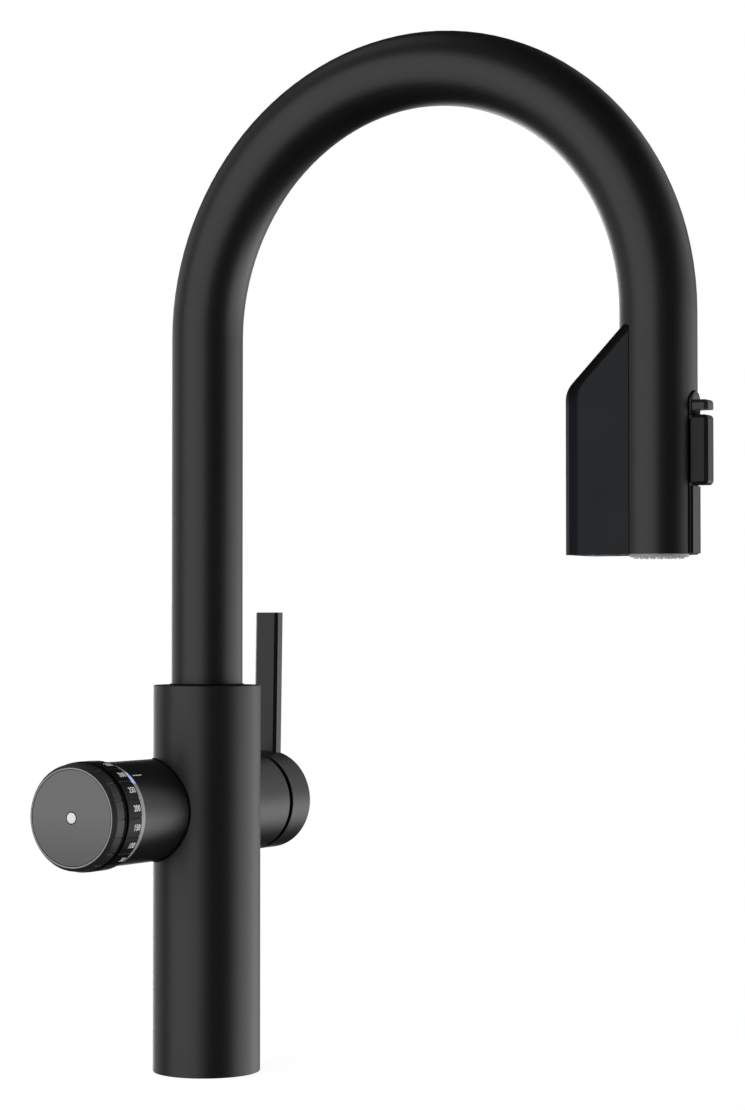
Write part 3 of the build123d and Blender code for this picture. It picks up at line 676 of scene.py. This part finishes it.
scale_low, scale_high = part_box("scale_ring")
scale_ring_r = (scale_high[2] - scale_low[2]) / 2
number_height = 2.85 * mm
number_edge = 0.85 * mm
number_width = 0.83
ink_depth = 0.12 * mm
ink_spread = 0.06 * mm
digit_height = 0.73
numbers = {
    "350": -70, "300": -50, "250": -30, "200": -10, "150": 10, "100": 30, "50": 50,
    "400": -90, "450": -110, "500": -130, "550": -150, "600": -170, "650": 170,
    "700": 150, "750": 130, "800": 110, "850": 90}


def printed_number(words, turn):
    """Number laid round the scale ring, ending next to the light ring."""
    bpy.ops.object.select_all(action="DESELECT")
    bpy.ops.object.text_add(location=(0, 0, 0))
    text = bpy.context.object
    text.data.body = words
    text.data.align_x = "RIGHT"
    text.data.size = number_height / digit_height
    text.data.offset = ink_spread
    text.data.extrude = ink_depth / 2
    text.data.resolution_u = 4
    bpy.ops.object.convert(target="MESH")
    number = begin("number_" + words, print_white)
    low = min(corner.co.y for corner in number.data.vertices)
    high = max(corner.co.y for corner in number.data.vertices)
    right = max(corner.co.x for corner in number.data.vertices)
    for corner in number.data.vertices:
        x = scale_high[0] - number_edge + (corner.co.x - right) * number_width
        up = corner.co.y - (low + high) / 2
        radius = scale_ring_r + corner.co.z
        corner.co = around_axis(x, radius, turn - math.degrees(up / scale_ring_r))
    alone(number)
    bpy.ops.object.mode_set(mode="EDIT")
    closed_mesh()
    finished(number, "dial")


for words, turn in numbers.items():
    printed_number(words, turn)

# Step lines. A narrow black bar lies in each of the eighteen grooves of the scale ring and of the
# grip ring, so that each shows as a fine shallow line.


def step_bars(name, finish, x_rear, r_rear, x_front, r_front, steps):
    """Bars round the side axis, each along the ring's surface, a little below it."""
    bar_width = 0.95 * mm
    bar_height = 0.50 * mm
    bar_bevel = 0.03 * mm
    end_gap = 0.1 * mm
    line_depth = 0.22 * mm
    middle_r = (r_rear + r_front) / 2 - line_depth - bar_height / 2
    slope = math.atan2(r_rear - r_front, x_rear - x_front)
    bars = []
    for step in range(steps):
        turn = 360.0 * step / steps
        place = around_axis((x_rear + x_front) / 2, middle_r, turn)
        bpy.ops.object.select_all(action="DESELECT")
        bpy.ops.mesh.primitive_cube_add(size=1, location=place)
        bar = begin(f"{name}_{step}", finish)
        bar.scale = (abs(x_rear - x_front) - end_gap, bar_height, bar_width)
        bar.rotation_mode = "QUATERNION"
        lean = Matrix.Rotation(-slope, 3, "Z")
        turned = Matrix.Rotation(math.radians(turn), 3, "X") @ lean
        bar.rotation_quaternion = turned.to_quaternion()
        bars.append(bar)
    for bar in bars:
        bar.select_set(True)
    bpy.context.view_layer.objects.active = bars[0]
    bpy.ops.object.join()
    joined = begin(name, finish)
    alone(joined)
    bpy.ops.object.transform_apply(location=True, rotation=True, scale=True)
    bevelled(joined, bar_bevel, 1)
    finished(joined, "dial")


dial_steps = 18
step_bars("scale_lines", scale_black, scale_high[0], scale_ring_r, scale_low[0], scale_ring_r,
          dial_steps)
grip_low, grip_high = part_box("grip_ring")
grip_rear_r = (grip_high[2] - grip_low[2]) / 2
grip_taper = 0.7 * mm
grip_length = 5.85 * mm
step_bars("grip_lines", dial_black, grip_high[0], grip_rear_r,
          grip_high[0] - grip_length, grip_rear_r - grip_taper, dial_steps)

# Grip ring. Black anodised aluminium, tapered for the fingers and bevelled to a thin rim. The
# rim's flat front is painted light grey all the way round as a painted highlight.
rim_highlight_r = 22.30 * mm
rim_highlight_fade = 0.08 * mm
rim_highlight_depth = 0.10 * mm


def opened(material):
    """A grained finish's nodes, links and shader, and the tone that it has so far."""
    nodes, links = material.node_tree.nodes, material.node_tree.links
    shader = nodes["Principled BSDF"]
    return nodes, links, shader, shader.inputs["Base Color"].links[0].from_socket


def grip_finish():
    """Black anodising, with a painted highlight of light grey on the rim's flat front."""
    material = grained(
        "grip_black", (0.021, 0.0215, 0.0213), (0.026, 0.0265, 0.0263),
        cloud_scale=90, grain_scale=3400, rough=(0.50, 0.60), shine=0.62)
    nodes, links, shader, anodised = opened(material)
    place = pattern_place(nodes, links, centre=(0, axis_y, axis_z))
    outward, rearward, upward = split_axes(nodes, links, place)
    square_y = calculated(nodes, links, "POWER", rearward, 2.0)
    square_z = calculated(nodes, links, "POWER", upward, 2.0)
    radius = calculated(nodes, links, "SQRT", calculated(nodes, links, "ADD", square_y, square_z))
    inside = ramp(nodes, links, radius, 1, 0, rim_highlight_r - rim_highlight_fade, rim_highlight_r)
    rim_front = grip_low[0]
    front = ramp(nodes, links, outward, 1, 0,
                 rim_front + 0.5 * rim_highlight_depth, rim_front + rim_highlight_depth)
    # The light grey on the rim's flat front is a painted highlight.
    turned = calculated(nodes, links, "MULTIPLY", inside, front)
    rim_highlight_tone = tones(nodes, links, turned, anodised, (0.40, 0.40, 0.41))
    links.new(rim_highlight_tone, shader.inputs["Base Color"])
    return material


dress(grip_finish(), "grip_ring")

rim_shade_r = 21.55 * mm
rim_shade_section = 0.16 * mm
rim_shade_centre = Vector((grip_low[0] + 0.30 * mm, axis_y, axis_z))
spun_ring("rim_shade", shade_black, rim_shade_section, rim_shade_r, rim_shade_centre,
          "X", "dial")
# A black band on the grip ring's rear edge is painted shade in the groove before the scale ring.
groove_shade_r = grip_rear_r - 0.12 * mm
groove_shade_section = 0.24 * mm
groove_shade_centre = Vector((grip_high[0] - 0.55 * mm, axis_y, axis_z))
spun_ring("groove_shade", shade_black, groove_shade_section, groove_shade_r, groove_shade_centre,
          "X", "dial", squash=2.6)

# Front disc of the dial. Grey painted aluminium that presses in, with a small white lens in its
# middle that shows the status light.
disc_r = 21.4 * mm


def disc_paint_and_shade():
    """Fine matte grey paint with painted light and shade, lighter at the top and darker toward the
    disc's lower edge.
    """
    material = grained(
        "disc_grey", (0.116, 0.119, 0.123), (0.122, 0.125, 0.129),
        cloud_scale=25, grain_scale=5200, rough=(0.40, 0.50), depth=0.000006)
    nodes, links, shader, shaded_low_tone = opened(material)
    place = pattern_place(nodes, links, centre=(0, axis_y, axis_z))
    _, _, upward = split_axes(nodes, links, place)
    # The change of tone from top to bottom is painted light and shade.
    height = ramp(nodes, links, upward, 0, 1, -disc_r, 0.1 * disc_r)
    paint_and_shade = tones(nodes, links, height, shaded_low_tone, (0.190, 0.193, 0.197))
    links.new(paint_and_shade, shader.inputs["Base Color"])
    return material


dress(disc_paint_and_shade(), "dial_button")
lens_white = grained(
    "lens_white", (0.84, 0.84, 0.84), (0.90, 0.90, 0.90),
    cloud_scale=400, grain_scale=3600, rough=(0.30, 0.40), depth=0.000006)
# The lens's faint glow is painted light that brightens its white.
painted_lens_glow = 0.16
painted_glow(lens_white, (1, 1, 1), painted_lens_glow)
dress(lens_white, "dial_lens")
lens_r = (lens_high[2] - lens_low[2]) / 2
# A dark ring round the lens is painted shade in its gap.
lens_shade_r = lens_r + 0.20 * mm
lens_shade_section = 0.26 * mm
lens_shade_centre = Vector((lens_low[0] + 0.03 * mm, axis_y, axis_z))
spun_ring("lens_shade", shade_black, lens_shade_section, lens_shade_r, lens_shade_centre,
          "X", "dial_front", steps=64, squash=0.4)

# Spout. Brass tube bent over the arch and coated like the column, in a plastic sleeve at its
# foot. The brass foot's notch meets the stop pin, and a bush guides the hose in the arch.
dress(black_coat, "spout_tube")
dress(acetal_white, "swivel_sleeve", "hose_guide")
dress(turned_brass, "spout_foot")

# Spray hose. Nylon-braided hose with a smooth grey sheath, from the foot up the riser, over the
# arch and down to the spray head, which draws it out.
hose_grey = grained(
    "hose_grey", (0.12, 0.12, 0.13), (0.17, 0.17, 0.18),
    cloud_scale=200, grain_scale=2400, rough=(0.42, 0.52))
connector_low, connector_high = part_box("hose_connector")
hose_r = 4.5 * mm
arch_z = 341.1 * mm
leg_y = (connector_low[1] + connector_high[1]) / 2
hose_end = connector_high[2]
bpy.ops.object.select_all(action="DESELECT")
bpy.ops.mesh.primitive_circle_add(vertices=32, radius=hose_r, fill_type="NGON", location=(0, 0, 0))
hose = begin("spray_hose_sheath", hose_grey)
alone(hose)
bpy.ops.object.mode_set(mode="EDIT")
bpy.ops.mesh.select_all(action="SELECT")
bpy.ops.mesh.extrude_region_move(TRANSFORM_OT_translate={"value": (0, 0, arch_z)})
bpy.ops.mesh.spin(steps=72, angle=math.pi, center=(0, leg_y / 2, arch_z), axis=(-1, 0, 0))
bpy.ops.mesh.extrude_region_move(TRANSFORM_OT_translate={"value": (0, 0, hose_end - arch_z)})
closed_mesh()
bpy.ops.object.shade_smooth_by_angle(angle=math.radians(60))
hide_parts("spray_hose")
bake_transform(hose)

# Fin. Moulded black plastic behind the outlet leg, with its bottom plate and the small grey
# outlet that stands in it.
fin_corner_z = fin_low[2] + 70.6 * mm
fin_edge_width = 5.2 * mm
fin_rear_share = 0.7
fin_highlight_width = 3.3 * mm
fin_highlight_fade = 0.4 * mm
fin_fade_out, fin_fade_in = 0.5 * mm, 0.3 * mm
fin_band_joint = 4 * mm
fin_upper_fade = 8 * mm


def fin_plastic():
    """Dull bluish black, with a band of painted shade along the slanted edge and the rear, and a
    painted highlight line at the rear edge.
    """
    material = grained(
        "fin_plastic", (0.027, 0.029, 0.033), (0.031, 0.033, 0.037),
        cloud_scale=45, grain_scale=3600, rough=(0.50, 0.60), shine=0.07)
    nodes, links, shader, side_tone = opened(material)
    _, rearward, upward = split_axes(nodes, links, pattern_place(nodes, links))
    behind = calculated(nodes, links, "SUBTRACT", fin_high[1], rearward)
    slant = calculated(nodes, links, "ADD", rearward, upward)
    below = calculated(nodes, links, "SUBTRACT", fin_corner_z + fin_high[1], slant)
    below = calculated(nodes, links, "MULTIPLY", below, math.sqrt(0.5))
    rear = calculated(nodes, links, "MULTIPLY", behind, fin_rear_share)
    inward = calculated(nodes, links, "SMOOTH_MIN", rear, below, fin_band_joint)
    face = ramp(nodes, links, inward, 0, 1,
                fin_edge_width - fin_fade_out, fin_edge_width + fin_fade_in)
    upper = ramp(nodes, links, upward, 0, 1, fin_corner_z - fin_upper_fade, fin_corner_z)
    # Near the rear edge the band is a painted highlight line, behind it a bluish painted shade,
    # and above the corner a blacker painted shade.
    outline = ramp(nodes, links, behind, 1, 0,
                   fin_highlight_width - fin_highlight_fade, fin_highlight_width)
    shade_and_highlight_band = tones(nodes, links, outline, (0.008, 0.010, 0.014), (0.060, 0.063, 0.068))
    shade_and_highlight_band = tones(nodes, links, upper, shade_and_highlight_band, (0.0012, 0.0013, 0.0015))
    links.new(tones(nodes, links, face, shade_and_highlight_band, side_tone), shader.inputs["Base Color"])
    return material


dress(fin_plastic(), "fin_housing")
plate_black = grained(
    "plate_black", (0.004, 0.004, 0.004), (0.006, 0.006, 0.006),
    cloud_scale=80, grain_scale=3600, rough=(0.60, 0.70), shine=0.08)
dress(plate_black, "fin_plate")
nozzle_grey = grained(
    "nozzle_grey", (0.36, 0.37, 0.38), (0.43, 0.44, 0.45),
    cloud_scale=160, grain_scale=3000, rough=(0.40, 0.50))
dress(nozzle_grey, "filter_outlet")

# Spray head. A black plastic barrel in the leg's mouth, with two rubber rings that centre it. The
# strip below the button is a paler grey, and the tab above it is what the finger pulls.
dress(soft_black, "spray_body")
strip_grey = grained(
    "strip_grey", (0.030, 0.033, 0.032), (0.038, 0.041, 0.040),
    cloud_scale=70, grain_scale=3600, rough=(0.36, 0.46), shine=0.20)
dress(strip_grey, "control_strip")
tab_black = grained(
    "tab_black", (0.018, 0.019, 0.018), (0.026, 0.027, 0.026),
    cloud_scale=90, grain_scale=3200, rough=(0.40, 0.50))
dress(tab_black, "pull_tab")

barrel_low, barrel_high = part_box("spray_body")
head_r = (barrel_high[0] - barrel_low[0]) / 2
barrel_ring_r = head_r - 0.55 * mm
barrel_ring_section = 0.75 * mm
for name, drop in (("barrel_ring_upper", 11.5 * mm), ("barrel_ring_middle", 16.0 * mm)):
    centre = Vector((0, leg_y, barrel_high[2] - drop))
    spun_ring(name, gasket_rubber, barrel_ring_section, barrel_ring_r, centre,
              "Z", "spray_head", sides=12)

strip_low, strip_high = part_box("control_strip")
button_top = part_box("spray_button")[1][2]
strip_half = (strip_high[0] - strip_low[0]) / 2
strip_edge_r = 0.5 * mm
strip_edge_x = strip_half - 0.30 * mm
strip_edge_y = strip_low[1] + strip_edge_r - 0.08 * mm
strip_end_gap = 0.1 * mm
# Black beads along the strip's edges are painted shade in its gaps.
for name, side in (("strip_edge_shade_left", -1), ("strip_edge_shade_right", 1)):
    shade_bead(name, [Vector((side * strip_edge_x, strip_edge_y, height))
                for height in (strip_low[2] + strip_end_gap, strip_high[2] - strip_end_gap)],
         strip_edge_r, "spray_head")

slot_half = 5.0 * mm
slot_top = fin_low[2] + 69.2 * mm
slot_end_steps = 24
slot_shade_bottom = fin_low[2] + 0.3 * mm
slot_shade_depth = 0.12 * mm
slot_shade_r = 0.32 * mm
tongue_half = strip_half - 0.25 * mm
tongue_front = strip_low[1] + 0.36 * mm
tongue_bottom = button_top + 0.5 * mm
tongue_edge_r = 0.40 * mm


def slot_outline(half, front, start):
    """Points up one side of the slot, round its end and down, flat or on the leg's round."""
    end_z = slot_top - slot_half
    places = [(-half, start)]
    for step in range(slot_end_steps + 1):
        angle = math.pi * (1 - step / slot_end_steps)
        places.append((half * math.cos(angle), end_z + half * math.sin(angle)))
    places.append((half, start))
    surface_r = leg_r - slot_shade_depth
    return [Vector((x, front if front else leg_y - math.sqrt(surface_r ** 2 - x ** 2), z))
            for x, z in places]


# Black beads round the slot in the leg and round the tongue are painted shade in their gaps.
shade_bead("slot_shade", slot_outline(slot_half, None, slot_shade_bottom), slot_shade_r, "spout")
shade_bead("tongue_edge_shade", slot_outline(tongue_half, tongue_front, tongue_bottom), tongue_edge_r,
     "spray_head")

rib_length = 7.6 * mm
rib_height = 0.42 * mm
rib_depth = 1.0 * mm
rib_proud = 0.30 * mm
rib_bevel = 0.12 * mm
recess_height = 1.9 * mm
recess_proud = 0.05 * mm
# The recess sheet is black painted shade behind the pull tab, and its two ribs are near black as
# painted shade.
for name, finish, length, height, rise, proud in (
        ("tab_recess_shade", shade_black, 2 * strip_half, recess_height, 1.15 * mm, recess_proud),
        ("tab_rib_lower", plate_black, rib_length, rib_height, 0.72 * mm, rib_proud),
        ("tab_rib_upper", plate_black, rib_length, rib_height, 1.66 * mm, rib_proud)):
    place = (0, strip_low[1] + rib_depth / 2 - proud, button_top + rise)
    rib = block(name, finish, (length, rib_depth, height), place, rib_bevel, 3)
    finished(rib, "spray_head")

# Nozzle. A grey perforated plate with soft silicone nubs that stand through it, and a middle jet
# insert with a ring of cells.
plate_grey = grained(
    "plate_grey", (0.66, 0.665, 0.67), (0.72, 0.725, 0.73),
    cloud_scale=160, grain_scale=3000, rough=(0.40, 0.50))
dress(plate_grey, "nozzle_plate", "aerator")
nub_silicone = grained(
    "nub_silicone", (0.84, 0.85, 0.86), (0.90, 0.91, 0.92),
    cloud_scale=300, grain_scale=2600, rough=(0.50, 0.60))
dress(nub_silicone, "nozzle_mat")

# Hose end. A hexagonal steel union nut on a flat rubber seal, with a ferrule that is crimped onto
# the hose in three rings.
dress(ground_steel, "hose_connector")
dress(gasket_rubber, "connector_seal")
ferrule_r = 6.0 * mm
crimp_r = ferrule_r - 0.2 * mm
crimp_section = 0.55 * mm
for number, drop in enumerate((1.6 * mm, 4.0 * mm, 6.4 * mm), start=1):
    spun_ring(f"ferrule_crimp_{number}", ground_steel, crimp_section, crimp_r,
              Vector((0, leg_y, hose_end - drop)), "Z", "spray_head",
              sides=12, steps=64)

# Spray button. A tall satin plastic bar that a spring pushes out.
button_plastic = grained(
    "button_plastic", (0.013, 0.014, 0.017), (0.018, 0.019, 0.022),
    cloud_scale=70, grain_scale=3600, rough=(0.34, 0.44), shine=0.20)
dress(button_plastic, "spray_button")

# Handle. The round brass cap sits on the cartridge's spindle, and the flat lever bar is soldered
# into its slot. Both are coated like the column.
dress(black_coat, "handle_cap", "lever_bar")
